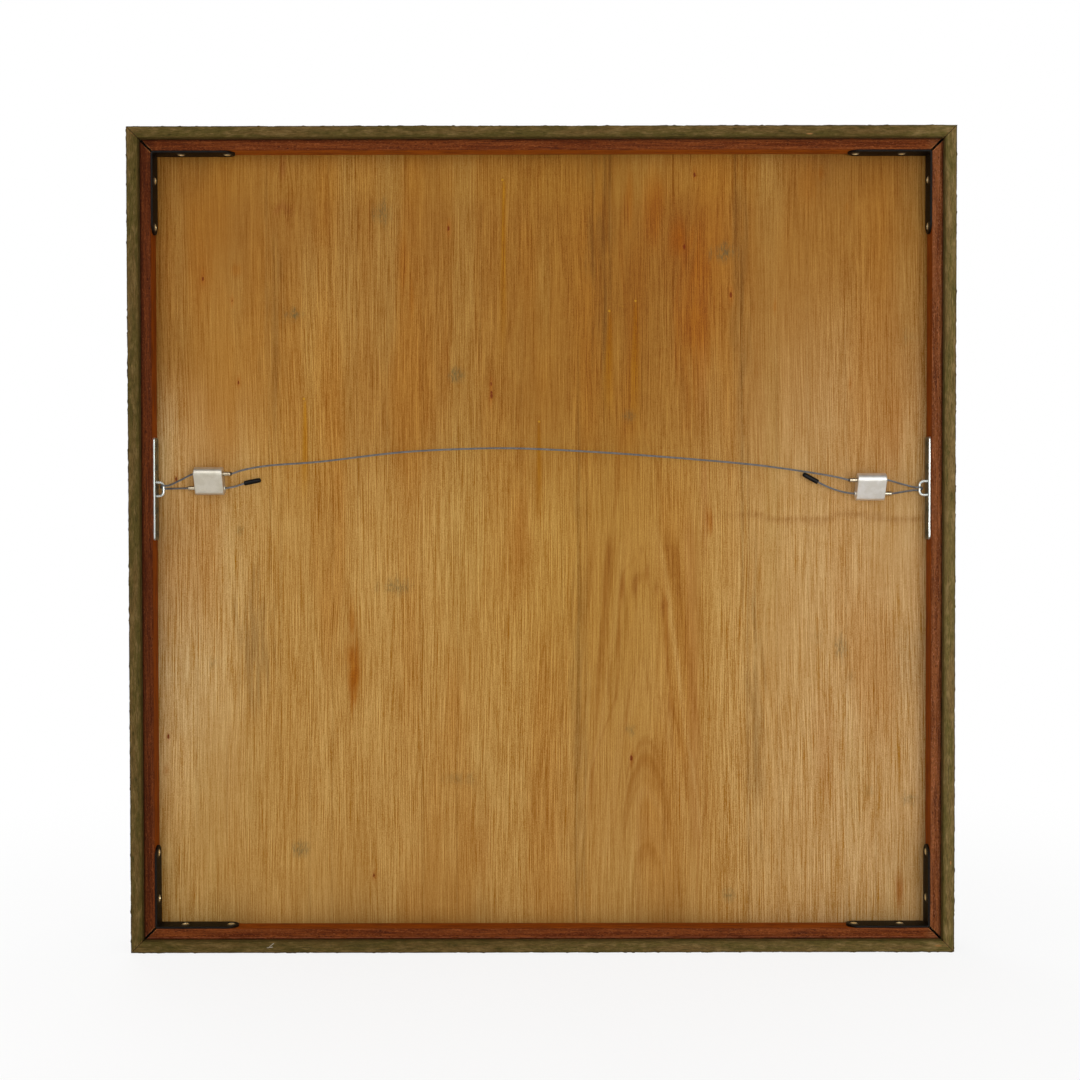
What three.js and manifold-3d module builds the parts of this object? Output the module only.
// A square floating (floater) frame with its back hardware: an outer painted frame, a recessed
// inner frame with braced corners, a plywood back panel that carries the floated panel in front,
// and a loop-and-lock hanging wire that runs between two strap hangers.
//
// Millimetres. +Z is up, +X runs across the width, the front (the side that shows the work) faces
// -Y and the back (the wall side, where the hardware is) faces +Y. The origin is the centre of the
// outer frame. "left" and "right" in the names are as seen from the back, so left is +X.
import * as THREE from "three";
import { mergeVertices } from "three/addons/utils/BufferGeometryUtils.js";
import Module from "manifold-3d";

const wasm = await Module();
wasm.setup();

// ---------------------------------------------------------------- frame dimensions
const OUTER_HALF = 400; // half of the frame's outer width and height
const HALF_DEPTH = 25; // half of the outer frame's depth
const OUTER_RAIL_W = 11;
const OUTER_MITRE_GAP = 0.1; // closed glued mitres

const PLY_Y1 = -4; // back of the plywood
const PLY_Y0 = PLY_Y1 - 6;
const RISER_Y0 = PLY_Y0 - 6; // front of the spacer between the plywood and the floated panel
const PANEL_Y0 = RISER_Y0 - 4; // front of the floated panel

const INNER_OUT = OUTER_HALF - OUTER_RAIL_W; // inner frame's outside, against the outer rails
const FACE = INNER_OUT - 10.5; // inner rails' inward faces, which carry the hardware
const INNER_Y0 = PLY_Y1; // inner rails stand on the plywood's back
const INNER_Y1 = HALF_DEPTH - 8; // and stop 8 below the outer frame's back
const INNER_MITRE_GAP = 0.8; // the inner frame's mitres stand slightly open

const PLY_HALF = INNER_OUT - 1;
const RISER_OUT = 370;
const RISER_IN = RISER_OUT - 30;
const PANEL_HALF = 380;

const HW_Y = (INNER_Y0 + INNER_Y1) / 2; // hardware centre line, half way up the inner rails
const OVERCUT = 1; // how far cutting solids run past the surface they cut
const SIDES = ["top", "right", "bottom", "left"];
const SIGNS = { left: 1, right: -1 }; // side of the frame to the sign of X
const HANDS = Object.entries(SIGNS);
const RAD = Math.PI / 180;

// ---------------------------------------------------------------- materials
const surface = (settings) => new THREE.MeshStandardMaterial(settings);
const OLIVE = surface({ color: 0x53431f, roughness: 0.85, metalness: 0 });
const RED_WOOD = surface({ color: 0x5e2a12, roughness: 0.7, metalness: 0 });
const PLYWOOD = surface({ color: 0xae8650, roughness: 0.6, metalness: 0 });
const RISER_WOOD = surface({ color: 0x1c1a18, roughness: 0.9, metalness: 0 });
const PRIMED = surface({ color: 0xe8e6df, roughness: 0.8, metalness: 0 });
const BLACK_STEEL = surface({ color: 0x1d1814, roughness: 0.5, metalness: 0.6 });
const ZINC = surface({ color: 0xc8d2c8, roughness: 0.3, metalness: 1 });
const BRASSY = surface({ color: 0xc9b37a, roughness: 0.35, metalness: 1 });
const SATIN = surface({ color: 0xc9c3b6, roughness: 0.4, metalness: 0.9 });
const NICKEL = surface({ color: 0xbeaf94, roughness: 0.3, metalness: 1 });
const STEEL_CABLE = surface({ color: 0x686c70, roughness: 0.5, metalness: 0.8 });
const STEEL = surface({ color: 0xb0b2b4, roughness: 0.25, metalness: 1 });
const RUBBER = surface({ color: 0x0c0c0c, roughness: 0.6, metalness: 0 });

// ---------------------------------------------------------------- solids and geometries
const vec = (x, y, z) => new THREE.Vector3(x, y, z);
const X_AXIS = vec(1, 0, 0);
const Y_AXIS = vec(0, 1, 0);
const Z_AXIS = vec(0, 0, 1);

// A closed geometry as a solid for joining and cutting.
function solid(geometry) {
  const bare = geometry.clone();
  bare.deleteAttribute("normal");
  bare.deleteAttribute("uv");
  const merged = mergeVertices(bare, 1e-4);
  return new wasm.Manifold(
    new wasm.Mesh({
      numProp: 3,
      vertProperties: new Float32Array(merged.attributes.position.array),
      triVerts: new Uint32Array(merged.index.array),
    }),
  );
}

// A solid as a flat-shaded, non-indexed geometry.
function geometryOf(body) {
  const mesh = body.getMesh();
  const indexed = new THREE.BufferGeometry();
  const positions = new Float32Array(mesh.vertProperties);
  indexed.setAttribute("position", new THREE.BufferAttribute(positions, 3));
  indexed.setIndex(new THREE.BufferAttribute(new Uint32Array(mesh.triVerts), 1));
  const flat = indexed.toNonIndexed();
  flat.computeVertexNormals();
  return flat;
}

const root = new THREE.Group();

// Adds a named mesh made from a geometry or a solid.
function piece(name, shape, material, parent = root) {
  const mesh = new THREE.Mesh(shape.isBufferGeometry ? shape : geometryOf(shape), material);
  mesh.name = name;
  parent.add(mesh);
}

// A box by its low and high corners.
function box(x0, y0, z0, x1, y1, z1) {
  return new THREE.BoxGeometry(x1 - x0, y1 - y0, z1 - z0).translate(
    (x0 + x1) / 2,
    (y0 + y1) / 2,
    (z0 + z1) / 2,
  );
}

// A box given for the +X side, mirrored to -X when sign is -1.
function sideBox(sign, x0, y0, z0, x1, y1, z1) {
  return sign > 0 ? box(x0, y0, z0, x1, y1, z1) : box(-x1, y0, z0, -x0, y1, z1);
}

const extrude = (shape, depth, curveSegments = 12) =>
  new THREE.ExtrudeGeometry(shape, { depth, bevelEnabled: false, curveSegments });

const polygon = (points) => new THREE.Shape(points.map(([x, y]) => new THREE.Vector2(x, y)));

// An outline in (x, z) given the thickness y0..y1.
function slabXZ(points, y0, y1) {
  return extrude(polygon(points), y1 - y0).rotateX(Math.PI / 2).translate(0, y1, 0);
}

// Moves a geometry so that its own axes lie along the given ones and its origin is at `at`.
function placed(geometry, alongX, alongY, alongZ, at) {
  const matrix = new THREE.Matrix4().makeBasis(alongX, alongY, alongZ).setPosition(at);
  return geometry.applyMatrix4(matrix);
}

// Turns a geometry's `axis` to point along `dir` and moves its origin to `at`.
function aimed(geometry, axis, at, dir) {
  const turn = new THREE.Quaternion().setFromUnitVectors(axis, dir);
  return geometry.applyMatrix4(new THREE.Matrix4().compose(at, turn, vec(1, 1, 1)));
}

// A lathe of [radius, height] points whose height runs from `at` along `dir`.
function turned(profile, at, dir, segments) {
  const points = profile.map(([radius, height]) => new THREE.Vector2(radius, height));
  return aimed(new THREE.LatheGeometry(points, segments), Y_AXIS, at, dir);
}

// A bar along X from `at`, with a rounded rectangular section of half sizes along Y and Z.
function roundedBar({ halfY, halfZ, corner, length, curveSegments, at }) {
  const right = halfY - corner;
  const top = halfZ - corner;
  const shape = new THREE.Shape();
  shape.moveTo(-right, -halfZ);
  shape.lineTo(right, -halfZ);
  shape.absarc(right, -top, corner, -Math.PI / 2, 0, false);
  shape.lineTo(halfY, top);
  shape.absarc(right, top, corner, 0, Math.PI / 2, false);
  shape.lineTo(-right, halfZ);
  shape.absarc(-right, top, corner, Math.PI / 2, Math.PI, false);
  shape.lineTo(-halfY, -top);
  shape.absarc(-right, -top, corner, Math.PI, 1.5 * Math.PI, false);
  return placed(extrude(shape, length, curveSegments), Y_AXIS, Z_AXIS, X_AXIS, at);
}

// Reverses the winding of a non-indexed geometry that has been mirrored.
function flipFaces(geometry) {
  const values = geometry.attributes.position.array;
  for (let i = 0; i < values.length; i += 9) {
    for (let k = i + 3; k < i + 6; k++) {
      [values[k], values[k + 3]] = [values[k + 3], values[k]];
    }
  }
  return geometry;
}

// A path for sweeping that has one station at each listed point.
class StationPath extends THREE.Curve {
  constructor(points, closed = false) {
    super();
    this.points = points;
    this.closed = closed;
    this.spans = closed ? points.length : points.length - 1;
  }
  station(i) {
    const count = this.points.length;
    const index = this.closed ? (i + count) % count : Math.min(Math.max(i, 0), count - 1);
    return this.points[index];
  }
  getPointAt(t, target = vec(0, 0, 0)) {
    return target.copy(this.station(Math.round(t * this.spans)));
  }
  getTangentAt(t, target = vec(0, 0, 0)) {
    const i = Math.round(t * this.spans);
    return target.copy(this.station(i + 1)).sub(this.station(i - 1)).normalize();
  }
}

// A round wire, with a polygon section, through the listed points.
function wire(points, radius, sides) {
  const section = Array.from({ length: sides }, (_, i) => {
    const angle = (2 * Math.PI * i) / sides;
    return [radius * Math.cos(angle), radius * Math.sin(angle)];
  });
  const path = new StationPath(points);
  return new THREE.ExtrudeGeometry(polygon(section), {
    steps: path.spans,
    extrudePath: path,
    bevelEnabled: false,
  });
}

// ---------------------------------------------------------------- hardware dimensions
const BRACE = {
  leg: 80,
  width: 20,
  thickness: 2,
  bend: 2.5, // how far the bend cuts back the outer corner
  fillet: 1.6, // how far the bend fills the inner corner
  holes: [27.5, 72.5], // from the brace's outer corner
  sinkRadius: 4.15,
  holeRadius: 2.3,
};
const STRAP = {
  z: 51, // height of the hangers' centres above the middle of the frame
  length: 100,
  width: 15,
  thickness: 2,
  corner: 3,
  holes: [-43.5, -21, 21, 43.5], // from the hanger's centre
  sinkRadius: 3.35,
  holeRadius: 1.9,
  slotZ: [5.0, 8.4], // two slots let the ring's arms through, above and below the centre
  slotHalfY: 5.0,
};
// Pocket in the rail behind the plate for the ring's bar
const POCKET = { depth: 2.9, halfY: 4.0, halfZ: 8.5 };

// Screws: head and shank radii, height of the domed head above the plate, length below the
// plate's surface, depth of the head's cone, and depth of the hole drilled into the wood.
const BRACE_SCREW = { head: 4.0, dome: 0.8, shank: 1.7, length: 9.4, cone: 1.75, drill: 7.9 };
const STRAP_SCREW = { head: 3.2, dome: 0.8, shank: 1.4, length: 8.6, cone: 1.5, drill: 7.2 };
const SCREW_POINT_L = 2.6;
const DRILL_CLEARANCE = 0.3; // drilled hole's radius over the shank's

// Each corner with its signs of X and Z
const CORNERS = [
  ["top_left", 1, 1],
  ["top_right", -1, 1],
  ["bottom_right", -1, -1],
  ["bottom_left", 1, -1],
];

// Each screw: the point on the plate's surface, the direction into the wood and the rail it enters
const braceScrews = CORNERS.flatMap(([corner, signX, signZ]) => {
  const plateFace = FACE - BRACE.thickness;
  const onLevelRail = BRACE.holes.map((hole) => ({
    at: vec(signX * (FACE - hole), HW_Y, signZ * plateFace),
    dir: vec(0, 0, signZ),
    rail: signZ > 0 ? "top" : "bottom",
  }));
  const onSideRail = BRACE.holes.map((hole) => ({
    at: vec(signX * plateFace, HW_Y, signZ * (FACE - hole)),
    dir: vec(signX, 0, 0),
    rail: signX > 0 ? "left" : "right",
  }));
  return [...onLevelRail, ...onSideRail].map((place, i) => ({
    ...place,
    name: `brace_screw_${corner}_${i + 1}`,
    plate: BRACE,
    size: BRACE_SCREW,
  }));
});
const strapScrews = HANDS.flatMap(([side, sign]) =>
  STRAP.holes.map((hole, i) => ({
    name: `strap_screw_${side}_${i + 1}`,
    at: vec(sign * (FACE - STRAP.thickness), HW_Y, STRAP.z + hole),
    dir: vec(sign, 0, 0),
    rail: side,
    plate: STRAP,
    size: STRAP_SCREW,
  })),
);

// ---------------------------------------------------------------- rails
// Outline in (x, z) of one rail of a mitred frame with the given outer and inner half sizes.
function railOutline(side, outer, inner, gap) {
  const shift = gap / Math.SQRT2; // along the rail, leaves half of the mitre's gap at each end
  const top = [
    [-outer + shift, outer],
    [-inner + shift, inner],
    [inner - shift, inner],
    [outer - shift, outer],
  ];
  const turns = {
    top: ([x, z]) => [x, z],
    bottom: ([x, z]) => [-x, -z],
    left: ([x, z]) => [z, -x],
    right: ([x, z]) => [-z, x],
  };
  return top.map(turns[side]);
}

function drilledHole({ at, dir, plate, size }) {
  const radius = size.shank + DRILL_CLEARANCE;
  const length = plate.thickness + size.drill;
  const cylinder = new THREE.CylinderGeometry(radius, radius, length, 8);
  return solid(aimed(cylinder.translate(0, length / 2, 0), Y_AXIS, at, dir));
}

function ringPocket(sign) {
  const { depth, halfY, halfZ } = POCKET;
  return solid(
    sideBox(
      sign,
      FACE - OVERCUT, HW_Y - halfY, STRAP.z - halfZ,
      FACE + depth, HW_Y + halfY, STRAP.z + halfZ,
    ),
  );
}

function innerRail(side) {
  const outline = railOutline(side, INNER_OUT, FACE, INNER_MITRE_GAP);
  let rail = solid(slabXZ(outline, INNER_Y0, INNER_Y1));
  for (const screwPlace of [...braceScrews, ...strapScrews]) {
    if (screwPlace.rail === side) rail = rail.subtract(drilledHole(screwPlace));
  }
  return side in SIGNS ? rail.subtract(ringPocket(SIGNS[side])) : rail;
}

for (const side of SIDES) {
  const outline = railOutline(side, OUTER_HALF, INNER_OUT, OUTER_MITRE_GAP);
  piece("outer_rail_" + side, slabXZ(outline, -HALF_DEPTH, HALF_DEPTH), OLIVE);
}
for (const side of SIDES) piece("inner_rail_" + side, innerRail(side), RED_WOOD);

// ---------------------------------------------------------------- panels
// A square plate centred on the Y axis.
const squarePlate = (half, y0, y1) => box(-half, y0, -half, half, y1, half);

function riserFrame() {
  const opening = squarePlate(RISER_IN, RISER_Y0 - OVERCUT, PLY_Y0 + OVERCUT);
  return solid(squarePlate(RISER_OUT, RISER_Y0, PLY_Y0)).subtract(solid(opening));
}

piece("plywood_back_panel", squarePlate(PLY_HALF, PLY_Y0, PLY_Y1), PLYWOOD);
piece("riser_frame", riserFrame(), RISER_WOOD);
piece("float_panel", squarePlate(PANEL_HALF, PANEL_Y0, RISER_Y0), PRIMED);

// ---------------------------------------------------------------- corner braces
// A flat leg along X from the corner, centred on Y, with a fully rounded tip.
function braceLeg() {
  const radius = BRACE.width / 2;
  const shape = new THREE.Shape();
  shape.moveTo(0, -radius);
  shape.lineTo(BRACE.leg - radius, -radius);
  shape.absarc(BRACE.leg - radius, 0, radius, -Math.PI / 2, Math.PI / 2, false);
  shape.lineTo(0, radius);
  shape.closePath();
  return extrude(shape, BRACE.thickness, 6);
}

// The cutter for a countersunk hole; `at` is on the plate's surface, `dir` points into the wood.
function countersink(at, dir, { thickness, sinkRadius, holeRadius }) {
  const rim = 0.15; // straight depth under the surface
  const profile = [
    [0, -OVERCUT],
    [sinkRadius, -OVERCUT],
    [sinkRadius, rim],
    [holeRadius, rim + (sinkRadius - holeRadius) * 0.85],
    [holeRadius, thickness + OVERCUT],
    [0, thickness + OVERCUT],
  ];
  return solid(turned(profile, at, dir, 10));
}

// The brace of the corner at +X, +Z: one leg on the top rail's inward face, one on the side rail's.
function cornerBrace() {
  const corner = vec(FACE, HW_Y, FACE);
  const left = vec(-1, 0, 0);
  const down = vec(0, 0, -1);
  const levelLeg = placed(braceLeg(), left, Y_AXIS, down, corner);
  // These axes are left-handed, so the leg comes out mirrored
  const uprightLeg = flipFaces(placed(braceLeg(), down, Y_AXIS, left, corner));
  let body = solid(levelLeg).add(solid(uprightLeg));

  // The bend: the outer corner comes off in two facets and the inner one is filled
  const y0 = HW_Y - BRACE.width / 2;
  const y1 = HW_Y + BRACE.width / 2;
  const beyond = FACE + OVERCUT;
  const start = FACE - BRACE.bend;
  const middle = FACE - 0.3 * BRACE.bend;
  const outerCut = [
    [start, beyond], [beyond, beyond], [beyond, start],
    [FACE, start], [middle, middle], [start, FACE],
  ];
  body = body.subtract(solid(slabXZ(outerCut, y0 - OVERCUT, y1 + OVERCUT)));
  const inside = FACE - BRACE.thickness;
  const embedded = inside + 0.5;
  const filletEnd = inside - BRACE.fillet;
  const filletMiddle = inside - 0.45;
  const innerFill = [
    [embedded, embedded], [embedded, filletEnd], [inside, filletEnd],
    [filletMiddle, filletMiddle], [filletEnd, inside], [filletEnd, embedded],
  ];
  body = body.add(solid(slabXZ(innerFill, y0, y1)));

  for (const hole of BRACE.holes) {
    body = body.subtract(countersink(vec(FACE - hole, HW_Y, inside), Z_AXIS, BRACE));
    body = body.subtract(countersink(vec(inside, HW_Y, FACE - hole), X_AXIS, BRACE));
  }
  return body;
}

for (const [corner, signX, signZ] of CORNERS) {
  const geometry = geometryOf(cornerBrace()).scale(signX, 1, signZ);
  if (signX * signZ < 0) flipFaces(geometry).computeVertexNormals();
  piece("corner_brace_" + corner, geometry, BLACK_STEEL);
}

// ---------------------------------------------------------------- screws
// An oval countersunk wood screw with a cross recess turned 45 degrees.
function screw({ at, dir, size: { head, dome, shank, length, cone } }) {
  const profile = [
    [0, -dome],
    [head * 0.66, -dome],
    [head, -0.05],
    [head, 0.1],
    [shank, cone + 0.15],
    [shank, length - SCREW_POINT_L],
    [0, length],
  ];
  const slot = head * 0.11; // half width of the cross's arms
  const arm = head * 0.56; // their length from the centre
  const recessDepth = 0.9; // below the plate's surface
  const cross = polygon([
    [arm, slot], [slot, slot], [slot, arm], [-slot, arm], [-slot, slot], [-arm, slot],
    [-arm, -slot], [-slot, -slot], [-slot, -arm], [slot, -arm], [slot, -slot], [arm, -slot],
  ]);
  const recess = extrude(cross, dome + OVERCUT + recessDepth)
    .translate(0, 0, -dome - OVERCUT)
    .rotateZ(Math.PI / 4);
  return solid(turned(profile, at, dir, 10)).subtract(solid(aimed(recess, Z_AXIS, at, dir)));
}
for (const place of braceScrews) piece(place.name, screw(place), BRASSY);

// ---------------------------------------------------------------- strap hangers
function strapPlate(sign) {
  const inside = FACE - STRAP.thickness;
  let plate = solid(
    roundedBar({
      halfY: STRAP.width / 2,
      halfZ: STRAP.length / 2,
      corner: STRAP.corner,
      length: STRAP.thickness,
      curveSegments: 3,
      at: vec(sign > 0 ? inside : -FACE, HW_Y, STRAP.z),
    }),
  );
  const [slotNear, slotFar] = STRAP.slotZ;
  for (const [low, high] of [[slotNear, slotFar], [-slotFar, -slotNear]]) {
    const slot = sideBox(
      sign,
      inside - OVERCUT, HW_Y - STRAP.slotHalfY, STRAP.z + low,
      FACE + OVERCUT, HW_Y + STRAP.slotHalfY, STRAP.z + high,
    );
    plate = plate.subtract(solid(slot));
  }
  for (const hole of STRAP.holes) {
    const at = vec(sign * inside, HW_Y, STRAP.z + hole);
    plate = plate.subtract(countersink(at, vec(sign, 0, 0), STRAP));
  }
  return plate;
}
for (const [side, sign] of HANDS) piece("strap_plate_" + side, strapPlate(sign), ZINC);
for (const place of strapScrews) piece(place.name, screw(place), BRASSY);

// ---------------------------------------------------------------- rings
const RING = {
  axisX: FACE + 1.2, // pivot line of the ring's straight bar, just behind the plate
  length: 10.2, // bar to arc, to the wire's centre
  halfHeight: 6.75, // to the wire's centre
  wireRadius: 1.1,
  arcCorner: 4.25,
  barCorner: 1.6,
  rest: { left: -36, right: -23 }, // degrees from the rail's normal, negative towards the plywood
};

// Closed rounded ring of round wire. Local x runs from the bar to the arc, local z is up.
function ring() {
  const { length, halfHeight, arcCorner, barCorner, wireRadius } = RING;
  // Corners: [centre x, centre z, radius, start angle, number of points]
  const corners = [
    [length - arcCorner, halfHeight - arcCorner, arcCorner, 0, 6],
    [barCorner, halfHeight - barCorner, barCorner, Math.PI / 2, 4],
    [barCorner, -halfHeight + barCorner, barCorner, Math.PI, 4],
    [length - arcCorner, -halfHeight + arcCorner, arcCorner, 1.5 * Math.PI, 6],
  ];
  const points = corners.flatMap(([x, z, radius, start, count]) =>
    Array.from({ length: count }, (_, i) => {
      const angle = start + (i / (count - 1)) * (Math.PI / 2);
      return vec(x + radius * Math.cos(angle), 0, z + radius * Math.sin(angle));
    }),
  );
  const path = new StationPath(points, true);
  return solid(new THREE.TubeGeometry(path, path.spans, wireRadius, 8, true));
}
for (const [side, sign] of HANDS) {
  const pivot = new THREE.Group();
  pivot.position.set(sign * RING.axisX, HW_Y, STRAP.z);
  // The ring points inwards from its own rail
  const angle = RING.rest[side] * RAD;
  pivot.rotation.z = sign > 0 ? Math.PI - angle : angle;
  root.add(pivot);
  piece("d_ring_" + side, ring(), ZINC, pivot);
}

// ---------------------------------------------------------------- lock dimensions
const LOCK = {
  length: 28,
  height: 28,
  thickness: 12,
  corner: 5,
  channel: 7.6, // channels' distance from the body's middle
};
// Lock centres, x for the +X side, and their roll in degrees, upper channel away from the plywood
const LOCK_PLACE = {
  left: { x: 324.8, y: 8, z: 58.8, roll: 25 },
  right: { x: 321.2, y: 8, z: 52.25, roll: 30 },
};
// One channel's cutter: [radius, distance from the plunger's mouth]
const CHANNEL = [
  [0, -1], [2.45, -1], [2.45, 9], [3.15, 9], [3.75, 17], [3.75, 24],
  [1.45, 24], [1.45, 27.2], [2.5, 28.2], [2.5, 29], [0, 29],
];
// Radii of the plunger and, from its channel's mouth, where its parts lie
const PLUNGER = { radius: 2.2, bore: 1.3, tip: -7.5, end: 10.5, flange: 2.9, flangeFrom: 9.3 };
const BALL = { radius: 1.1, along: 11.85, offset: 2.12 };
const SPRING = { from: 13.45, to: 23.4, radius: 2.4, wire: 0.3, turns: 4.5 };

// ---------------------------------------------------------------- hanging cable
const CABLE_R = 0.95;
// The turn of the cable round each ring's wire
const LOOP = {
  radius: 3.3,
  toUpperLeg: vec(0, 2.97, 1.42).normalize(), // from the turn's centre
  lead: 4, // straight run either side of the turn
  spans: 12,
  left: { x: 370.4, z: 53.0 },
  right: { x: 369.4, z: 50.3 },
};
// The run of cable between the two locks, [x, y, z], from the left lock to the right one
const MAIN_RUN = [
  [294, 11.3, 68.7], [284.6, 11.4, 70.9], [267, 11.6, 73.6], [249.5, 11.7, 75.0],
  [231.9, 11.8, 76.1], [214.3, 11.9, 77.6], [196.8, 12, 79.6], [167.5, 12, 83.2],
  [138.3, 12, 86.3], [109, 12, 88.3], [79.7, 12, 89.5], [50.5, 12, 90.2],
  [21.3, 12, 90.0], [-8, 12, 88.9], [-37.2, 12, 87.3], [-66.5, 12, 85.5],
  [-95.7, 12, 83.4], [-125, 12, 81.1], [-154.2, 12, 78.7], [-183.5, 12, 76.1],
  [-212.7, 12, 73.1], [-236.1, 12, 70.0], [-253.7, 12, 67.4], [-277.1, 12, 63.6],
  [-291, 11.9, 60.9],
];
// The free ends that leave the locks' lower channels, [x, y, z], to the cable's ends
const TAIL = {
  left: [[300, 4.8, 53.6], [292.6, 5.2, 56.0], [284.3, 5.6, 58.0], [280.3, 5.7, 58.8]],
  right: [
    [-298, 4.2, 46.7], [-285, 4.3, 50.3], [-271, 4.4, 56.6], [-263.8, 4.5, 60.5],
    [-260.5, 4.6, 62.3],
  ],
};

// A channel's [y, z] in the frame; end is 1 for the upper channel and -1 for the lower one.
function channelCentre({ y, z, roll }, end) {
  const offset = end * LOCK.channel;
  return [y + offset * Math.sin(roll * RAD), z + offset * Math.cos(roll * RAD)];
}

// The cable's centre line on one side, from the lock's upper channel round the ring to the tail's
// end, as [x, y, z, steps to the next point].
function sidePath(side, sign) {
  const place = LOCK_PLACE[side];
  const [upperY, upperZ] = channelCentre(place, 1);
  const [lowerY, lowerZ] = channelCentre(place, -1);
  const near = place.x - LOCK.length / 2; // the body's face towards the middle of the frame
  const far = place.x + LOCK.length / 2; // the body's face towards the ring
  const upperTip = near + PLUNGER.tip;
  const lowerTip = far - PLUNGER.tip;

  const ringY = HW_Y + RING.length * Math.sin(RING.rest[side] * RAD);
  const centre = vec(LOOP[side].x, ringY, LOOP[side].z);
  const onTurn = (distance) => centre.clone().addScaledVector(LOOP.toUpperLeg, distance);
  const upper = onTurn(LOOP.radius);
  const lower = onTurn(-LOOP.radius);
  const turn = Array.from({ length: LOOP.spans + 1 }, (_, i) => {
    const angle = (i / LOOP.spans) * Math.PI;
    const { x, y, z } = onTurn(LOOP.radius * Math.cos(angle));
    return [x + LOOP.radius * Math.sin(angle), y, z, i < LOOP.spans ? 1 : 3];
  });

  const points = [
    [upperTip, upperY, upperZ, 1],
    [near + 1, upperY, upperZ, 1],
    [far - 2.5, upperY, upperZ, 1],
    [far + 0.8, upperY, upperZ, 3],
    [
      (far + upper.x) / 2,
      upperY * 0.45 + upper.y * 0.55,
      upperZ * 0.42 + upper.z * 0.58,
      4,
    ],
    [upper.x - LOOP.lead, upper.y, upper.z, 3],
    ...turn,
    [lower.x - LOOP.lead, lower.y, lower.z, 4],
    [
      (lowerTip + lower.x) / 2 - 2,
      lowerY * 0.55 + lower.y * 0.45,
      lowerZ * 0.5 + lower.z * 0.5,
      4,
    ],
    [lowerTip + 0.3, lowerY, lowerZ, 2],
    [lowerTip - 2, lowerY, lowerZ, 1],
    [near + 2.5, lowerY, lowerZ, 1],
    [near - 0.8, lowerY, lowerZ, 3],
  ];
  return [
    ...points.map(([x, y, z, steps]) => [sign * x, y, z, steps]),
    ...TAIL[side].map(([x, y, z]) => [x, y, z, 3]),
  ];
}

// The same path run backwards, so each point takes the steps of the one it now leads to.
function reversedPath(path, lastSteps) {
  const reversed = path.slice().reverse();
  return reversed.map(([x, y, z], i) => [x, y, z, reversed[i + 1]?.[3] ?? lastSteps]);
}

function hangingCable() {
  const control = [
    ...reversedPath(sidePath("left", SIGNS.left), 2),
    ...MAIN_RUN.map(([x, y, z]) => [x, y, z, 1]),
    ...sidePath("right", SIGNS.right),
  ];
  const points = control.map(([x, y, z]) => vec(x, y, z));
  const curve = new THREE.CatmullRomCurve3(points, false, "centripetal");
  const spans = control.length - 1;
  const samples = [];
  for (let i = 0; i < spans; i++) {
    const steps = control[i][3];
    for (let k = 0; k < steps; k++) samples.push(curve.getPoint((i + k / steps) / spans));
  }
  samples.push(curve.getPoint(1));
  return solid(wire(samples, CABLE_R, 7));
}
piece("hanging_cable", hangingCable(), STEEL_CABLE);

// ---------------------------------------------------------------- end caps on the tails
// endGap is left between the cable's end and the bottom of the bore
const CAP = { radius: 2.4, length: 17, bore: 1.25, boreDepth: 12, endGap: 0.8 };

function endCap(tail) {
  const [before, end] = tail.slice(-2).map((point) => vec(...point));
  const dir = end.clone().sub(before).normalize();
  const mouth = end.clone().addScaledVector(dir, CAP.endGap - CAP.boreDepth);
  const { radius, length, bore, boreDepth } = CAP;
  const profile = [
    [0, boreDepth],
    [bore, boreDepth],
    [bore, 0],
    [radius * 0.8, 0],
    [radius, 0.6],
    [radius, length - radius * 0.9],
    [radius * 0.8, length - radius * 0.4],
    [radius * 0.45, length - radius * 0.1],
    [0, length],
  ];
  return solid(turned(profile, mouth, dir, 12));
}
for (const [side] of HANDS) piece("cable_end_cap_" + side, endCap(TAIL[side]), RUBBER);

// ---------------------------------------------------------------- locks
// Local frame of a lock: x along the channels, z across the two channels, y through its thickness.
// The upper channel's plunger is on -x, the lower channel's on +x, so the body turned half round
// about z is the other side's body. Below, end is 1 for the upper channel, -1 for the lower one.
const CHANNELS = { upper: 1, lower: -1 };
const channelMouth = (end) => vec((-end * LOCK.length) / 2, 0, end * LOCK.channel);

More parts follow.
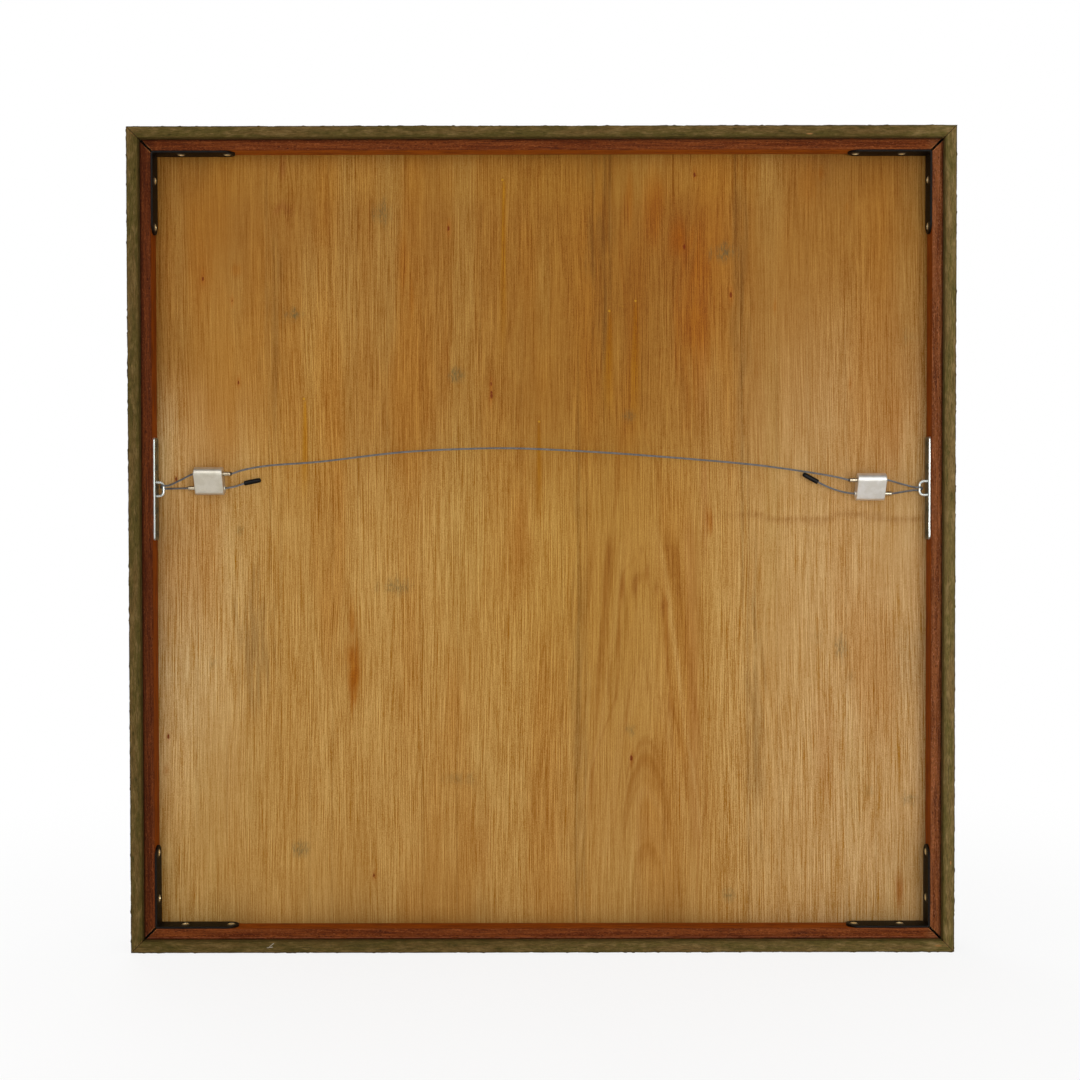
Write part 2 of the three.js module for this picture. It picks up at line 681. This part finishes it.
function lockBody() {
  let body = solid(
    roundedBar({
      halfY: LOCK.thickness / 2,
      halfZ: LOCK.height / 2,
      corner: LOCK.corner,
      length: LOCK.length,
      curveSegments: 4,
      at: vec(-LOCK.length / 2, 0, 0),
    }),
  );
  for (const end of Object.values(CHANNELS)) {
    body = body.subtract(solid(turned(CHANNEL, channelMouth(end), vec(end, 0, 0), 10)));
  }
  return body;
}

// A flanged sleeve that stands out of its channel's mouth.
function plunger(end) {
  const { radius, bore, tip, flange, flangeFrom, end: back } = PLUNGER;
  const profile = [
    [bore, tip + 0.3],
    [bore + 0.25, tip],
    [radius - 0.35, tip],
    [radius, tip + 0.4],
    [radius, flangeFrom],
    [flange, flangeFrom],
    [flange, back],
    [bore, back],
    [bore, tip + 0.3],
  ];
  return solid(turned(profile, channelMouth(end), vec(end, 0, 0), 12));
}

function ball(end) {
  const mouth = channelMouth(end);
  const sphere = new THREE.SphereGeometry(BALL.radius, 8, 6);
  return solid(sphere.translate(mouth.x + end * BALL.along, BALL.offset, mouth.z));
}

class SpringHelix extends THREE.Curve {
  getPoint(t, target = vec(0, 0, 0)) {
    const { from, to, radius, wire: wireRadius, turns } = SPRING;
    const angle = t * turns * 2 * Math.PI;
    const x = from + wireRadius + t * (to - from - 2 * wireRadius);
    return target.set(x, radius * Math.cos(angle), radius * Math.sin(angle));
  }
}
const springPoints = new SpringHelix().getSpacedPoints(Math.round(SPRING.turns * 8));

function spring(end) {
  const mouth = channelMouth(end);
  const coil = wire(springPoints, SPRING.wire, 4);
  if (end < 0) coil.rotateZ(Math.PI);
  return solid(coil.translate(mouth.x, 0, mouth.z));
}

for (const [side, sign] of HANDS) {
  const place = LOCK_PLACE[side];
  const lock = new THREE.Group();
  lock.position.set(sign * place.x, place.y, place.z);
  lock.rotation.x = -place.roll * RAD; // leans the upper channel away from the plywood
  const spin = new THREE.Group();
  spin.rotation.z = sign > 0 ? 0 : Math.PI;
  lock.add(spin);
  root.add(lock);
  piece("gripper_body_" + side, lockBody(), SATIN, spin);
  for (const [channel, end] of Object.entries(CHANNELS)) {
    const suffix = `_${side}_${channel}`;
    piece("release_plunger" + suffix, plunger(end), NICKEL, spin);
    piece("gripping_ball" + suffix, ball(end), STEEL, spin);
    piece("gripper_spring" + suffix, spring(end), STEEL, spin);
  }
}

export default root;
